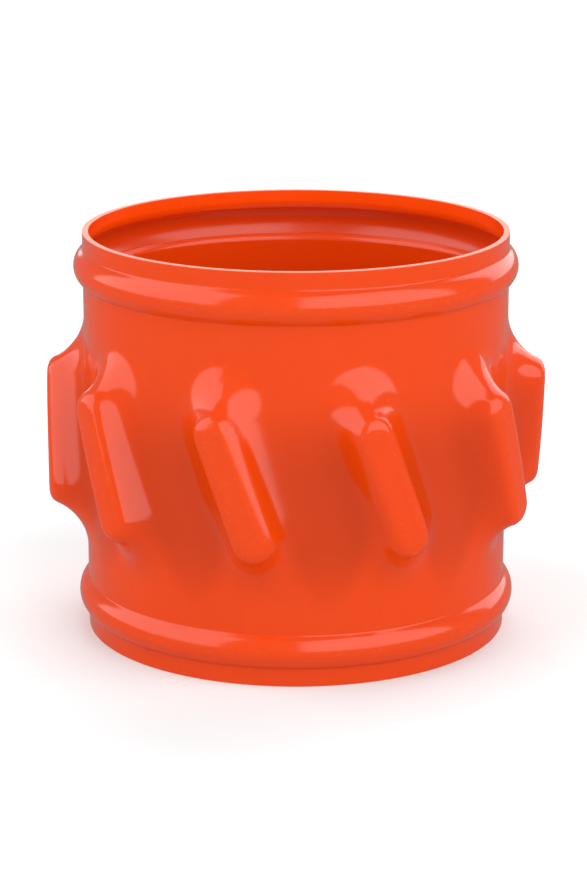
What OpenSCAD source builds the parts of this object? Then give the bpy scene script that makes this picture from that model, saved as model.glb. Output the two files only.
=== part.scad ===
/* [Pipe and sleeve] */
// Outer diameter of the pipe that the coupling joins
pipe_d = 160; // [110:1:315]
// Play between the pipe and the bore of the coupling, on the diameter
pipe_play = 0.6; // [0.4:0.1:1.2]
// Wall thickness of the formed sleeve
wall = 2.4; // [1.6:0.1:3]
// Length of the sleeve, rim to rim
sleeve_h = 158; // [140:1:220]

/* [Seal beads] */
// Height of a bead above the outside of the sleeve
bead_rise = 3.6; // [2.5:0.1:4.4]
// Radius of a bead's round outer face
bead_r = 7.7; // [7:0.1:9]
// Wall thickness in the beads, where the forming stretches the wall
bead_wall = 1.5; // [1.2:0.1:2]
// Distance from a rim to the middle of its bead
bead_inset = 13.4; // [11:0.1:18]

/* [Bulges] */
// Number of slanted bulges around the sleeve
bulge_count = 10; // [4:1:11]
// Height of a bulge's crest above the outside of the sleeve
bulge_rise = 15.3; // [12:0.1:20]
// Length of a bulge's crest between the centres of its round ends
crest_l = 40; // [20:1:50]
// Radius of the crest across the bulge
crest_r = 8.3; // [6:0.1:8.4]
// Lean of the bulges from the axis of the sleeve, in degrees
bulge_lean = 18; // [0:0.1:30]
// Slope of a bulge's flanks, in degrees
flank_slope = 60; // [55:1:75]
// Turn of the first bulge from the front, in degrees
first_turn = -14.1; // [-18:0.1:18]

/* [Seals] */
// Thickness of a seal's web over the floor of its groove
seal_web = 1; // [1:0.1:1.6]
// How far a seal's two lips stand into the bore
lip_reach = 0.3; // [0.2:0.1:1]
// Width of the steel hoop behind a seal
hoop_w = 2.4; // [1.6:0.1:2.6]
// Thickness of the steel hoop behind a seal
hoop_t = 0.4; // [0.3:0.1:0.5]

/* [Hidden] */
$fn = 96;

bore_r = (pipe_d + pipe_play) / 2;
outer_r = bore_r + wall;
groove_r = bead_r - bead_wall;
bead_centre_r = outer_r + bead_rise - bead_r;
upper_bead_z = sleeve_h - bead_inset;
mouth_w = 2 * sqrt(pow(groove_r, 2) - pow(bore_r - bead_centre_r, 2));
seal_gap = 0.03;
seal_w = mouth_w - 2 * seal_gap;
hoop_gap = 0.15;
lip_r = bore_r - lip_reach;
hoop_outer_r = bead_centre_r + groove_r - hoop_gap;
crest_centre_r = outer_r + bulge_rise - crest_r;
bulge_root_r = outer_r - 12;
core_r = bore_r - 20;
overrun = 1;

// Half of a bulge's section, from its middle plane out: a round crest on a straight flank
module bulge_half_section(offset_in) {
    crest = crest_r - offset_in;
    touch_x = crest * sin(flank_slope);
    touch_y = crest_centre_r + crest * cos(flank_slope);
    root_x = touch_x + (touch_y - bulge_root_r) / tan(flank_slope);
    intersection() {
        union() {
            translate([0, crest_centre_r]) circle(crest);
            polygon([[0, bulge_root_r], [root_x, bulge_root_r], [touch_x, touch_y],
                     [0, crest_centre_r]]);
        }
        translate([0, bulge_root_r]) square([root_x, crest_centre_r + crest - bulge_root_r + overrun]);
    }
}

// One bulge as a solid, its crest at the front: a straight middle and two half-round ends
module bulge(offset_in) {
    rotate([0, -bulge_lean, 0]) {
        for (side = [0, 1]) mirror([side, 0, 0])
            rotate([0, 0, 180]) translate([0, 0, -crest_l / 2])
                linear_extrude(crest_l) bulge_half_section(offset_in);
        for (end = [0, 1]) mirror([0, 0, end])
            translate([0, 0, crest_l / 2]) rotate([90, 0, 0])
                rotate_extrude(angle = 180) bulge_half_section(offset_in);
    }
}

module bulges(offset_in) {
    for (i = [0 : bulge_count - 1])
        rotate([0, 0, first_turn + i * 360 / bulge_count])
            translate([0, 0, sleeve_h / 2]) bulge(offset_in);
}

// Both beads' round faces, or the grooves inside them
module bead_circles(radius) {
    for (z = [bead_inset, upper_bead_z]) translate([bead_centre_r, z]) circle(radius);
}

// The formed sleeve: a thin wall with a hollow bead at each end and hollow slanted bulges
module sleeve() {
    color("orangered") difference() {
        union() {
            rotate_extrude() difference() {
                union() {
                    translate([core_r, 0]) square([outer_r - core_r, sleeve_h]);
                    bead_circles(bead_r);
                }
                bead_circles(groove_r);
            }
            bulges(0);
        }
        bulges(wall);
        translate([0, 0, -overrun]) cylinder(r = bore_r, h = sleeve_h + 2 * overrun);
    }
}

// A rubber ring that lines the groove of one bead, with a lip at each edge of the groove's mouth
module seal(bead_z) {
    translate([0, 0, bead_z]) rotate_extrude() difference() {
        intersection() {
            translate([bead_centre_r, 0]) circle(groove_r - seal_gap);
            translate([lip_r, -seal_w / 2]) square([bead_r, seal_w]);
        }
        translate([bead_centre_r, 0]) circle(groove_r - seal_web);
        translate([hoop_outer_r - hoop_t, -hoop_w / 2]) square([bead_r, hoop_w]);
    }
}

// The flat steel hoop set in the back of a seal, which keeps it in the groove
module hoop(bead_z) {
    translate([0, 0, bead_z]) rotate_extrude()
        translate([hoop_outer_r - hoop_t, -hoop_w / 2]) square([hoop_t, hoop_w]);
}

module upper_seal() { color("tomato") seal(upper_bead_z); }
module upper_hoop() { color("silver") hoop(upper_bead_z); }
module lower_seal() { color("tomato") seal(bead_inset); }
module lower_hoop() { color("silver") hoop(bead_inset); }

sleeve();
upper_seal();
upper_hoop();
lower_seal();
lower_hoop();
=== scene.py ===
import bmesh
import bpy
import math
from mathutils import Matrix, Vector


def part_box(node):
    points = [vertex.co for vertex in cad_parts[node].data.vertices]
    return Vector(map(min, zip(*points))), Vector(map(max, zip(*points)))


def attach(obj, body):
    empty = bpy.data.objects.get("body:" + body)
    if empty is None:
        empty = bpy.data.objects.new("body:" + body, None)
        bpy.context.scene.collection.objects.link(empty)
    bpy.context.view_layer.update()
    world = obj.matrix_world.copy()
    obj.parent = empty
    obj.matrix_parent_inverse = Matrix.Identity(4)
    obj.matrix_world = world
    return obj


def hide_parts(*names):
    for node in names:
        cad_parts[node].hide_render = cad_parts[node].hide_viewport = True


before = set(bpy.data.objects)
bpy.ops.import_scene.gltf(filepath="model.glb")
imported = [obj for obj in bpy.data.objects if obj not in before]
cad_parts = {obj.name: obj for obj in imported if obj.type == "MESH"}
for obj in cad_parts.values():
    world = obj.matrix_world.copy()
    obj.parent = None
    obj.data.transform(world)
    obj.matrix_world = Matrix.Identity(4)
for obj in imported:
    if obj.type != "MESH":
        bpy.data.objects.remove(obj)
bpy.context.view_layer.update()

# ---- Camera ------------------------------------------------------------------------------------
# A long lens a little over a metre away, looking down into the upper mouth of the coupling.
CAMERA_DISTANCE = 1.0453
CAMERA_HEIGHT = 0.3643
CAMERA_PITCH = math.radians(15.589)

camera_data = bpy.data.cameras.new("camera")
camera_data.lens = 112.28
camera_data.sensor_width = 36.0
camera_data.shift_x = -0.00276
camera = bpy.data.objects.new("camera", camera_data)
camera.location = (0.0, -CAMERA_DISTANCE, CAMERA_HEIGHT)
camera.rotation_euler = (math.pi / 2 - CAMERA_PITCH, 0.0, 0.0)
bpy.context.scene.collection.objects.link(camera)
bpy.context.scene.camera = camera
bpy.context.scene.view_settings.view_transform = "Standard"


# ---- Sleeve ------------------------------------------------------------------------------------
# One tube of orange-red plastic, heated and blown outwards into a split mould, so that the wall
# stands out in two hollow seal beads and in ten hollow slanted bulges. Its ends are sawn square.
sleeve_low, sleeve_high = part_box("sleeve")
hoop_low, hoop_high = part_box("upper_hoop")
SLEEVE_HEIGHT = sleeve_high[2] - sleeve_low[2]
OUTER_RADIUS = 0.0827
WALL = 0.0024
BEAD_WALL = 0.0015
BEAD_RADIUS = 0.0077
BEAD_CENTRE_RADIUS = 0.0786
BEAD_INSET = SLEEVE_HEIGHT - (hoop_low[2] + hoop_high[2]) / 2
BEAD_REACH_IN_INSETS = 1.6
BEAD_REACH = BEAD_INSET * BEAD_REACH_IN_INSETS
RIM_ROUND = 0.00025
RIM_SEGMENTS = 3
RIM_ROWS = (0.0, 0.001, 0.004)
RIM_EDGE_ANGLE = math.radians(60)
CREASE_ROUND = 0.0006
CREASE_STEPS = 2
BEAD_STEPS = 14
COLUMNS = 400
COLUMN_BUNCHING = 0.5
MERGE_DISTANCE = 1e-7

BULGE_COUNT = 10
BULGE_PITCH = 2 * math.pi / BULGE_COUNT
BULGE_RISE = 0.0149
BULGE_LEAN = math.radians(18)
BULGE_HALF_LENGTH = 0.0208
CREST_HALF_WIDTH = 0.0029
CREST_ROUND = 0.0054
SIDE_FOOT_ROUND = 0.0185
END_FOOT_ROUND = 0.0215
SIDE_SLOPE = math.radians(68)
END_SLOPE = math.radians(63.5)
FIRST_BULGE = math.radians(-14.1)
FLATTEST_WALL = 4.0
NO_DISTANCE = 1e-9
ROW_STEPS = ((0.018, 0.0036), (0.030, 0.00085), (0.047, 0.0014), (1.0, 0.0034))

# Painted shade: the hollows between the bulges are painted darker, most a little below their
# middle.
SHADE_DROP = 0.011
SHADE_SIDES = (0.045, 0.036)
SHADE_ENDS = (0.048, 0.013)
HANDLED_CREST = (0.90, 1.0)
HANDLED_BEAD = (0.0028, 0.0036)
FLUSH = 0.00001


def arc(centre, radius, start, end, steps):
    """Points of an arc in the XZ plane, as (radius from the axis, height)."""
    turns = [start + (end - start) * i / steps for i in range(steps + 1)]
    return [(centre[0] + radius * math.cos(t), centre[1] + radius * math.sin(t)) for t in turns]


def bead_outline(middle):
    """Outside of one bead from below to above, with a small round where it meets the wall."""
    centre = (BEAD_CENTRE_RADIUS, middle)
    small_r = OUTER_RADIUS + CREASE_ROUND
    reach = math.sqrt((BEAD_RADIUS + CREASE_ROUND) ** 2 - (small_r - BEAD_CENTRE_RADIUS) ** 2)
    turn = math.atan2(reach, small_r - BEAD_CENTRE_RADIUS)
    lower = arc((small_r, middle - reach), CREASE_ROUND, math.pi, math.pi - turn, CREASE_STEPS)
    round_face = arc(centre, BEAD_RADIUS, -turn, turn, BEAD_STEPS)
    upper = arc((small_r, middle + reach), CREASE_ROUND, math.pi + turn, math.pi, CREASE_STEPS)
    return lower + round_face[1:-1] + upper


def belt_heights():
    """Heights of the rows between the beads, close together over the bulges' round ends."""
    rises = [0.0]
    while rises[-1] < SLEEVE_HEIGHT / 2 - BEAD_REACH:
        step = next(step for limit, step in ROW_STEPS if rises[-1] < limit)
        rises.append(rises[-1] + step)
    return [SLEEVE_HEIGHT / 2 + rise for rise in [-r for r in rises[:0:-1]] + rises]


def column_turn(turn, height):
    """Where a column of the even tube goes: nearer the crests, and slanted as the bulges are."""
    share = (turn - FIRST_BULGE) / BULGE_PITCH
    bunched = share - COLUMN_BUNCHING * math.sin(2 * math.pi * share) / (2 * math.pi)
    straight = BULGE_HALF_LENGTH * math.cos(BULGE_LEAN)
    up = max(-straight, min(straight, height - SLEEVE_HEIGHT / 2))
    return FIRST_BULGE + bunched * BULGE_PITCH - up * math.tan(BULGE_LEAN) / OUTER_RADIUS


def crest_offsets(turn, height):
    """Steps (around, up) on the wall from the crest line of each of the three nearest bulges."""
    nearest = round((turn - FIRST_BULGE) / BULGE_PITCH)
    offsets = []
    for number in (nearest - 1, nearest, nearest + 1):
        around = (turn - FIRST_BULGE - number * BULGE_PITCH) * OUTER_RADIUS
        up = height - SLEEVE_HEIGHT / 2
        along = around * math.sin(BULGE_LEAN) - up * math.cos(BULGE_LEAN)
        along = max(-BULGE_HALF_LENGTH, min(BULGE_HALF_LENGTH, along))
        offsets.append((around - along * math.sin(BULGE_LEAN), up + along * math.cos(BULGE_LEAN)))
    return offsets


def bulge_profile(distance, wall_radius, foot_round, slope):
    """Height of a bulge over the plain wall, this far along it from the line of the crest.

    The section is a flat crest, a round edge, a straight flank and a hollow foot that meets the
    round wall. wall_radius is the wall's own in this section.
    """
    edge = Vector((CREST_HALF_WIDTH, wall_radius + BULGE_RISE - CREST_ROUND))
    flank_out = Vector((math.sin(slope), math.cos(slope)))
    flank_down = Vector((math.cos(slope), -math.sin(slope)))
    flank_distance = edge.dot(flank_out) + CREST_ROUND
    foot_distance = flank_distance + foot_round
    foot_along = -math.sqrt((wall_radius + foot_round) ** 2 - foot_distance ** 2)
    foot = flank_out * foot_distance + flank_down * foot_along
    flank_top = edge + flank_out * CREST_ROUND
    flank_end = foot - flank_out * foot_round
    turn = distance / wall_radius
    ray = Vector((math.sin(turn), math.cos(turn)))
    if turn <= math.atan2(CREST_HALF_WIDTH, wall_radius + BULGE_RISE):
        return BULGE_RISE
    if turn <= math.atan2(flank_top.x, flank_top.y):
        near = ray.dot(edge)
        return near + math.sqrt(near ** 2 - edge.length_squared + CREST_ROUND ** 2) - wall_radius
    if turn <= math.atan2(flank_end.x, flank_end.y):
        return flank_distance / ray.dot(flank_out) - wall_radius
    if turn < math.atan2(foot.x, foot.y):
        near = ray.dot(foot)
        return near - math.sqrt(near ** 2 - foot.length_squared + foot_round ** 2) - wall_radius
    return 0.0


def bulge_height(turn, height):
    """Height of the bulges over the plain wall, at a turn from the front and a height on it."""
    total = 0.0
    for off_around, off_up in crest_offsets(turn, height):
        distance = max(math.hypot(off_around, off_up), NO_DISTANCE)
        bend = (off_around / distance) ** 2 / OUTER_RADIUS
        off_end = off_around * math.sin(BULGE_LEAN) - off_up * math.cos(BULGE_LEAN)
        endwise = (off_end / distance) ** 2
        foot_round = SIDE_FOOT_ROUND + (END_FOOT_ROUND - SIDE_FOOT_ROUND) * endwise
        slope = SIDE_SLOPE + (END_SLOPE - SIDE_SLOPE) * endwise
        total += bulge_profile(distance, 1 / max(bend, 1 / FLATTEST_WALL), foot_round, slope)
    return min(total, BULGE_RISE)


def fade(value, start, end):
    """0 at start and before it, 1 at end and past it, smooth between."""
    share = max(0.0, min(1.0, (value - start) / (end - start)))
    return share * share * (3 - 2 * share)


def painted_channel_shade(turn, height):
    """1 in the hollow between two bulges, where painted shade darkens the plastic, and 0 away from
    it.
    """
    distances = sorted(math.hypot(*offset) for offset in crest_offsets(turn, height))
    past_middle = abs(height - SLEEVE_HEIGHT / 2 + SHADE_DROP)
    return fade(distances[1], *SHADE_SIDES) * fade(past_middle, *SHADE_ENDS)


def spin_outline(outline, columns, closed):
    """A ring or tube: the outline, as (radius, height) points, spun once round the Z axis."""
    mesh = bmesh.new()
    points = [mesh.verts.new((0.0, -r, z)) for r, z in outline]
    pairs = list(zip(points, points[1:]))
    if closed:
        pairs.append((points[-1], points[0]))
    edges = [mesh.edges.new(pair) for pair in pairs]
    bmesh.ops.spin(mesh, geom=points + edges, cent=(0, 0, 0), axis=(0, 0, 1),
                   angle=2 * math.pi, steps=columns, use_merge=True, use_duplicate=False)
    bmesh.ops.remove_doubles(mesh, verts=mesh.verts, dist=MERGE_DISTANCE)
    bmesh.ops.recalc_face_normals(mesh, faces=mesh.faces)
    for face in mesh.faces:
        face.smooth = True
    return mesh


def add_piece(name, mesh, material):
    data = bpy.data.meshes.new(name)
    mesh.to_mesh(data)
    mesh.free()
    data.materials.append(material)
    piece = bpy.data.objects.new(name, data)
    bpy.context.scene.collection.objects.link(piece)
    return piece


def put(tree, value, socket):
    """Links an output to the socket, or sets the socket to a plain value."""
    if isinstance(value, bpy.types.NodeSocket):
        tree.links.new(value, socket)
    else:
        socket.default_value = value


def calculate(tree, operation, first, second):
    node = tree.nodes.new("ShaderNodeMath")
    node.operation = operation
    put(tree, first, node.inputs[0])
    put(tree, second, node.inputs[1])
    return node.outputs["Value"]


def blend_colours(tree, share, first, second):
    node = tree.nodes.new("ShaderNodeMix")
    node.data_type = "RGBA"
    sockets = {socket.identifier: socket for socket in node.inputs}
    put(tree, share, sockets["Factor_Float"])
    put(tree, first, sockets["A_Color"])
    put(tree, second, sockets["B_Color"])
    return next(socket for socket in node.outputs if socket.identifier == "Result_Color")


def between(tree, value, low, high):
    """0 where the value is at low, 1 where it is at high."""
    node = tree.nodes.new("ShaderNodeMapRange")
    put(tree, value, node.inputs["Value"])
    node.inputs["From Min"].default_value = low
    node.inputs["From Max"].default_value = high
    return node.outputs["Result"]


def stretched(tree, scale):
    """Object coordinates, with each axis scaled."""
    place = tree.nodes.new("ShaderNodeTexCoord")
    mapping = tree.nodes.new("ShaderNodeMapping")
    tree.links.new(place.outputs["Object"], mapping.inputs["Vector"])
    mapping.inputs["Scale"].default_value = scale
    return mapping.outputs["Vector"]


def noise(tree, vector, scale, detail):
    node = tree.nodes.new("ShaderNodeTexNoise")
    put(tree, vector, node.inputs["Vector"])
    put(tree, scale, node.inputs["Scale"])
    node.inputs["Detail"].default_value = detail
    return node.outputs[0]


GRAIN_DETAIL = 2.0
PATCH_DETAIL = 1.0
PATCH_RANGE = (0.15, 0.85)


def make_skin_group():
    """The fine grain of a formed skin as a height in metres, and slow patches in its finish."""
    group = bpy.data.node_groups.new("formed skin", "ShaderNodeTree")
    for name, kind in (("Vector", "NodeSocketVector"), ("Grain Scale", "NodeSocketFloat"),
                       ("Grain Depth", "NodeSocketFloat"), ("Patch Scale", "NodeSocketFloat"),
                       ("Patch Depth", "NodeSocketFloat")):
        group.interface.new_socket(name, in_out="INPUT", socket_type=kind)
    for name in ("Height", "Patches"):
        group.interface.new_socket(name, in_out="OUTPUT", socket_type="NodeSocketFloat")
    given = group.nodes.new("NodeGroupInput").outputs
    grain = noise(group, given["Vector"], given["Grain Scale"], GRAIN_DETAIL)
    patches = noise(group, given["Vector"], given["Patch Scale"], PATCH_DETAIL)
    fine = calculate(group, "MULTIPLY", grain, given["Grain Depth"])
    slow = calculate(group, "MULTIPLY", patches, given["Patch Depth"])
    result = group.nodes.new("NodeGroupOutput")
    group.links.new(calculate(group, "ADD", fine, slow), result.inputs["Height"])
    group.links.new(between(group, patches, *PATCH_RANGE), result.inputs["Patches"])
    return group


def add_skin(tree, vector, grain_scale, grain_depth, patch_scale, patch_depth):
    """Places the skin group in a material and returns its patches; its height bumps the shader."""
    node = tree.nodes.new("ShaderNodeGroup")
    node.node_tree = skin_group
    put(tree, vector, node.inputs["Vector"])
    node.inputs["Grain Scale"].default_value = grain_scale
    node.inputs["Grain Depth"].default_value = grain_depth
    node.inputs["Patch Scale"].default_value = patch_scale
    node.inputs["Patch Depth"].default_value = patch_depth
    bump = tree.nodes.new("ShaderNodeBump")
    bump.inputs["Distance"].default_value = 1.0
    tree.links.new(node.outputs["Height"], bump.inputs["Height"])
    tree.links.new(bump.outputs["Normal"], tree.nodes["Principled BSDF"].inputs["Normal"])
    return node.outputs["Patches"]


outline = [(OUTER_RADIUS, z) for z in RIM_ROWS]
outline += bead_outline(BEAD_INSET)
outline += [(OUTER_RADIUS, z) for z in belt_heights()]
outline += bead_outline(SLEEVE_HEIGHT - BEAD_INSET)
outline += [(OUTER_RADIUS, SLEEVE_HEIGHT - z) for z in reversed(RIM_ROWS)]
shell = spin_outline(outline, COLUMNS, closed=False)
painted_shade_layer = shell.verts.layers.float.new("painted_shade")
handled_layer = shell.verts.layers.float.new("handled")
weights = shell.verts.layers.deform.verify()
for vert in shell.verts:
    bead_rise = vert.co.xy.length - OUTER_RADIUS
    turn = column_turn(math.atan2(vert.co.x, -vert.co.y), vert.co.z)
    rise = bulge_height(turn, vert.co.z)
    radius = OUTER_RADIUS + bead_rise + rise
    vert.co.x = radius * math.sin(turn)
    vert.co.y = -radius * math.cos(turn)
    vert[painted_shade_layer] = painted_channel_shade(turn, vert.co.z)
    vert[handled_layer] = max(fade(rise / BULGE_RISE, *HANDLED_CREST),
                              fade(bead_rise, *HANDLED_BEAD))
    vert[weights][0] = BEAD_WALL / WALL if bead_rise > FLUSH else 1.0
middle_face = min(shell.faces,
                  key=lambda face: abs(face.calc_center_median().z - SLEEVE_HEIGHT / 2))
outward = middle_face.calc_center_median().xy.to_3d()
if middle_face.normal.dot(outward) < 0:
    bmesh.ops.reverse_faces(shell, faces=shell.faces)

PLASTIC = (0.660, 0.0460, 0.0008, 1.0)
STREAKED_PLASTIC = (0.652, 0.0450, 0.0008, 1.0)
SHADED_CHANNEL_PLASTIC = (0.515, 0.0355, 0.0006, 1.0)
SCUFFED_PLASTIC = (0.700, 0.0800, 0.0200, 1.0)
SAWN_PLASTIC_AND_RIM_HIGHLIGHT = (0.700, 0.1250, 0.0560, 1.0)
SAWN_DEPTH = 0.0004
ROUGHNESS = 0.12
PATCH_ROUGHNESS = 0.04
SCUFF_ROUGHNESS = 0.10
SAWN_ROUGHNESS = 0.25
SCUFF_COLOUR = 0.35
GRAIN_SCALE = 900
GRAIN_DEPTH = 0.0000016
PATCH_SCALE = 45
PATCH_DEPTH = 0.000030
EVEN = (1, 1, 1)
SCRATCH_STRETCH = (1, 1, 3.0)
SCRATCH_SCALE = 420
SCRATCH_DETAIL = 3.0
SCRATCH_RANGE = (0.56, 0.70)
STREAK_STRETCH = (1, 1, 0.05)
STREAK_SCALE = 260
STREAK_DETAIL = 2.0
STREAK_RANGE = (0.35, 0.65)

# Painted light: the bore is painted lighter than the outside, and lighter still towards each
# mouth, where light falls in.
LIT_BORE_PLASTIC = (0.700, 0.0500, 0.0010, 1.0)
MOUTH_LIT_PLASTIC = (0.880, 0.0660, 0.0010, 1.0)
MOUTH_LIT_FROM = 0.060
MOUTH_LIT_TO = 0.072
BORE_ROUGHNESS = 0.18
BORE_PATCH_ROUGHNESS = 0.05
BORE_STREAKS = 0.08
BORE_GRAIN_DEPTH = 0.0000020


def from_middle_height(tree):
    """Distance of a point above or below the middle of the sleeve."""
    place = tree.nodes.new("ShaderNodeTexCoord")
    split = tree.nodes.new("ShaderNodeSeparateXYZ")
    tree.links.new(place.outputs["Object"], split.inputs["Vector"])
    return calculate(tree, "ABSOLUTE",
                     calculate(tree, "SUBTRACT", split.outputs["Z"], SLEEVE_HEIGHT / 2), 0.0)


def flow_streaks(tree):
    """Faint streaks along the tube, from drawing it before it is formed."""
    streaks = noise(tree, stretched(tree, STREAK_STRETCH), STREAK_SCALE, STREAK_DETAIL)
    return between(tree, streaks, *STREAK_RANGE)


skin_group = make_skin_group()
plastic = bpy.data.materials.new("orange plastic")
plastic.use_nodes = True
tree = plastic.node_tree
shader = tree.nodes["Principled BSDF"]
patches = add_skin(tree, stretched(tree, EVEN), GRAIN_SCALE, GRAIN_DEPTH, PATCH_SCALE, PATCH_DEPTH)
scratches = noise(tree, stretched(tree, SCRATCH_STRETCH), SCRATCH_SCALE, SCRATCH_DETAIL)
scratches = between(tree, scratches, *SCRATCH_RANGE)
painted_shade = tree.nodes.new("ShaderNodeAttribute")
painted_shade.attribute_name = "painted_shade"
handled = tree.nodes.new("ShaderNodeAttribute")
handled.attribute_name = "handled"
scuffs = calculate(tree, "MULTIPLY", handled.outputs["Fac"], scratches)
# The sawn ends are rougher and paler. The paler colour is partly the cut face's own tone and
# partly a painted highlight along the rim.
sawn = between(tree, from_middle_height(tree), SLEEVE_HEIGHT / 2 - SAWN_DEPTH, SLEEVE_HEIGHT / 2)
colour = blend_colours(tree, flow_streaks(tree), PLASTIC, STREAKED_PLASTIC)
# Painted shade: darker plastic in the hollows between the bulges.
colour = blend_colours(tree, painted_shade.outputs["Fac"], colour, SHADED_CHANNEL_PLASTIC)
colour = blend_colours(tree, calculate(tree, "MULTIPLY", scuffs, SCUFF_COLOUR), colour,
                        SCUFFED_PLASTIC)
colour = blend_colours(tree, sawn, colour, SAWN_PLASTIC_AND_RIM_HIGHLIGHT)
tree.links.new(colour, shader.inputs["Base Color"])
roughness = calculate(tree, "MULTIPLY", patches, PATCH_ROUGHNESS)
roughness = calculate(tree, "ADD", roughness,
                      calculate(tree, "MULTIPLY", scuffs, SCUFF_ROUGHNESS))
roughness = calculate(tree, "ADD", roughness,
                      calculate(tree, "MULTIPLY", sawn, SAWN_ROUGHNESS))
tree.links.new(calculate(tree, "ADD", roughness, ROUGHNESS), shader.inputs["Roughness"])

bore_plastic = bpy.data.materials.new("orange plastic of the bore")
bore_plastic.use_nodes = True
tree = bore_plastic.node_tree
shader = tree.nodes["Principled BSDF"]
patches = add_skin(tree, stretched(tree, EVEN), GRAIN_SCALE, BORE_GRAIN_DEPTH, PATCH_SCALE,
                   PATCH_DEPTH)
# Painted light: the bore's colour grows lighter towards each mouth.
mouth_light = between(tree, from_middle_height(tree), MOUTH_LIT_FROM, MOUTH_LIT_TO)
colour = blend_colours(tree, mouth_light, LIT_BORE_PLASTIC, MOUTH_LIT_PLASTIC)
colour = blend_colours(tree, calculate(tree, "MULTIPLY", flow_streaks(tree), BORE_STREAKS),
                       colour, PLASTIC)
tree.links.new(colour, shader.inputs["Base Color"])
roughness = calculate(tree, "MULTIPLY", patches, BORE_PATCH_ROUGHNESS)
tree.links.new(calculate(tree, "ADD", roughness, BORE_ROUGHNESS), shader.inputs["Roughness"])

sleeve = add_piece("sleeve_shell", shell, plastic)
sleeve.data.materials.append(bore_plastic)
wall_group = sleeve.vertex_groups.new(name="wall")
wall = sleeve.modifiers.new("wall", "SOLIDIFY")
wall.thickness = WALL
wall.offset = -1.0
wall.use_even_offset = True
wall.vertex_group = wall_group.name
wall.material_offset = 1
rim = sleeve.modifiers.new("rim", "BEVEL")
rim.width = RIM_ROUND
rim.segments = RIM_SEGMENTS
rim.limit_method = "ANGLE"
rim.angle_limit = RIM_EDGE_ANGLE
rim.harden_normals = True
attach(sleeve, "root")
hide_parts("sleeve")


# ---- Seals -------------------------------------------------------------------------------------
# A ring of soft orange rubber lies in the groove behind each bead. It is moulded as a thin
# crescent that thins out at both edges, and pressed in so that the groove still looks open.
SEAL_OUTER_RADIUS = 0.00613
SEAL_INNER_RADIUS = 0.00831
SEAL_INNER_CENTRE_RADIUS = 0.07544
SEAL_EDGE_RADIUS = 0.0821
HOOP_CLEARANCE = 0.00005
hoop_half_width = (hoop_high[2] - hoop_low[2]) / 2 + HOOP_CLEARANCE
HOOP_THICKNESS = 0.0004
hoop_back_radius = hoop_high[0] - HOOP_THICKNESS - HOOP_CLEARANCE

SEAL_BACK_STEPS = 10
SEAL_FRONT_STEPS = 20
SEAL_COLUMNS = 256

RUBBER = (0.600, 0.0420, 0.0020, 1.0)
RUBBER_BLOOM = (0.615, 0.0440, 0.0030, 1.0)
RUBBER_ROUGHNESS = 0.22
RUBBER_PATCH_ROUGHNESS = 0.06
RUBBER_GRAIN_SCALE = 1500
RUBBER_GRAIN_DEPTH = 0.0000030
RUBBER_PATCH_SCALE = 70
RUBBER_PATCH_DEPTH = 0.000020
rubber = bpy.data.materials.new("orange rubber")
rubber.use_nodes = True
tree = rubber.node_tree
shader = tree.nodes["Principled BSDF"]
patches = add_skin(tree, stretched(tree, EVEN), RUBBER_GRAIN_SCALE, RUBBER_GRAIN_DEPTH,
                   RUBBER_PATCH_SCALE, RUBBER_PATCH_DEPTH)
tree.links.new(blend_colours(tree, patches, RUBBER, RUBBER_BLOOM), shader.inputs["Base Color"])
roughness = calculate(tree, "MULTIPLY", patches, RUBBER_PATCH_ROUGHNESS)
tree.links.new(calculate(tree, "ADD", roughness, RUBBER_ROUGHNESS), shader.inputs["Roughness"])

for name, middle in (("upper_seal", SLEEVE_HEIGHT - BEAD_INSET), ("lower_seal", BEAD_INSET)):
    outer_centre = (BEAD_CENTRE_RADIUS, middle)
    inner_centre = (SEAL_INNER_CENTRE_RADIUS, middle)
    outer_end = math.acos((SEAL_EDGE_RADIUS - BEAD_CENTRE_RADIUS) / SEAL_OUTER_RADIUS)
    inner_end = math.acos((SEAL_EDGE_RADIUS - SEAL_INNER_CENTRE_RADIUS) / SEAL_INNER_RADIUS)
    notch = math.asin(hoop_half_width / SEAL_OUTER_RADIUS)
    ring = arc(outer_centre, SEAL_OUTER_RADIUS, -outer_end, -notch, SEAL_BACK_STEPS)
    ring += [(hoop_back_radius, middle + side) for side in (-hoop_half_width, hoop_half_width)]
    ring += arc(outer_centre, SEAL_OUTER_RADIUS, notch, outer_end, SEAL_BACK_STEPS)
    ring += arc(inner_centre, SEAL_INNER_RADIUS, inner_end, -inner_end, SEAL_FRONT_STEPS)
    seal = add_piece(name + "_ring", spin_outline(ring, SEAL_COLUMNS, closed=True), rubber)
    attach(seal, "root")
    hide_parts(name)


# ---- Hoops -------------------------------------------------------------------------------------
# A flat hoop of bright spring steel sits in the back of each seal and holds it in its groove. It
# is rolled from strip, with the drawing marks running round it.
STEEL = (0.60, 0.59, 0.57, 1.0)
DULL_STEEL = (0.48, 0.47, 0.45, 1.0)
STEEL_ROUGHNESS = 0.24
STEEL_PATCH_ROUGHNESS = 0.12
STEEL_STRETCH = (1, 1, 40)
STEEL_GRAIN_SCALE = 250
STEEL_GRAIN_DEPTH = 0.0000010
STEEL_PATCH_SCALE = 30
STEEL_PATCH_DEPTH = 0.000002
steel = bpy.data.materials.new("rolled steel")
steel.use_nodes = True
tree = steel.node_tree
shader = tree.nodes["Principled BSDF"]
shader.inputs["Metallic"].default_value = 1.0
patches = add_skin(tree, stretched(tree, STEEL_STRETCH), STEEL_GRAIN_SCALE, STEEL_GRAIN_DEPTH,
                   STEEL_PATCH_SCALE, STEEL_PATCH_DEPTH)
tree.links.new(blend_colours(tree, patches, STEEL, DULL_STEEL), shader.inputs["Base Color"])
roughness = calculate(tree, "MULTIPLY", patches, STEEL_PATCH_ROUGHNESS)
tree.links.new(calculate(tree, "ADD", roughness, STEEL_ROUGHNESS), shader.inputs["Roughness"])
for name in ("upper_hoop", "lower_hoop"):
    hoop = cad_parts[name]
    hoop.data.materials.clear()
    hoop.data.materials.append(steel)


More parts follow.
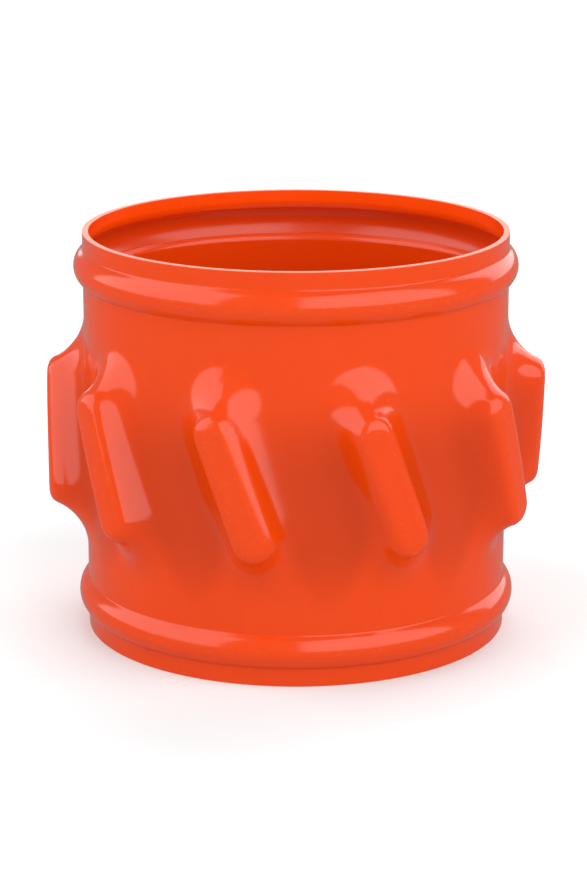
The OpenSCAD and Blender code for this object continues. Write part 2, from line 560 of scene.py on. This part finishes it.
# ---- Floor -------------------------------------------------------------------------------------
# A plain pale studio floor, which runs on into the white of the studio's backdrop. It is matt, and
# the plastic mirrors the dim room instead of it, as on a shadow-catching studio base.
FLOOR_HALF_WIDTH = 2.4
FLOOR_PAPER = (0.77, 0.815, 0.82, 1.0)
FLOOR_ROUGHNESS = 0.9
floor_mesh = bmesh.new()
bmesh.ops.create_grid(floor_mesh, x_segments=1, y_segments=1, size=FLOOR_HALF_WIDTH)
paper = bpy.data.materials.new("studio floor")
paper.use_nodes = True
paper_shader = paper.node_tree.nodes["Principled BSDF"]
paper_shader.inputs["Base Color"].default_value = FLOOR_PAPER
paper_shader.inputs["Roughness"].default_value = FLOOR_ROUGHNESS
paper_shader.inputs["Specular IOR Level"].default_value = 0.0
floor = add_piece("studio_floor", floor_mesh, paper)
floor.visible_glossy = False


# ---- Light -------------------------------------------------------------------------------------
# Three tall soft boxes stand round the coupling, about a third of a turn apart, with their lower
# edges a little above its top, and the glossy plastic mirrors them. Weaker fills of the same
# size at the front and the back only brighten the plastic, which doesn't mirror them.
BOX_DISTANCE = 3.0
BOX_HALF_WIDTH = math.radians(42)
BOX_FOOT = math.radians(3.5)
BOX_TOP = math.radians(67)
LIGHTS = (("left box", -81.5, 1.65, True), ("right box", 44.5, 1.75, True),
          ("back box", 161.0, 1.75, True), ("front left fill", -45.0, 0.50, False),
          ("front right fill", 45.0, 0.54, False), ("back fill", 180.0, 0.50, False))
box_width = 2 * BOX_DISTANCE * math.tan(BOX_HALF_WIDTH)
box_height = BOX_DISTANCE * (math.tan(BOX_TOP) - math.tan(BOX_FOOT))
for name, azimuth, radiance, mirrored in LIGHTS:
    turn = math.radians(azimuth)
    towards = Vector((math.sin(turn), -math.cos(turn), 0.0))
    data = bpy.data.lights.new(name, "AREA")
    data.shape = "RECTANGLE"
    data.size = box_width
    data.size_y = box_height
    data.energy = radiance * math.pi * box_width * box_height
    lamp = bpy.data.objects.new(name, data)
    lamp.location = towards * BOX_DISTANCE
    lamp.location.z = SLEEVE_HEIGHT / 2 + BOX_DISTANCE * math.tan(BOX_FOOT) + box_height / 2
    lamp.rotation_euler = towards.to_track_quat("Z", "Y").to_euler()
    lamp.visible_camera = False
    lamp.visible_glossy = mirrored
    bpy.context.scene.collection.objects.link(lamp)


# ---- Room --------------------------------------------------------------------------------------
# The room round the coupling is dim and grey, and that is what the plastic mirrors between the
# lights. Seen straight from the camera, the backdrop is white.
DIM_ROOM = (0.30, 0.30, 0.30, 1.0)
WHITE_BACKDROP = (1.0, 1.0, 1.0, 1.0)
world = bpy.data.worlds.new("room")
world.use_nodes = True
tree = world.node_tree
seen = tree.nodes.new("ShaderNodeLightPath").outputs["Is Camera Ray"]
tree.links.new(blend_colours(tree, seen, DIM_ROOM, WHITE_BACKDROP),
               tree.nodes["Background"].inputs["Color"])
bpy.context.scene.world = world
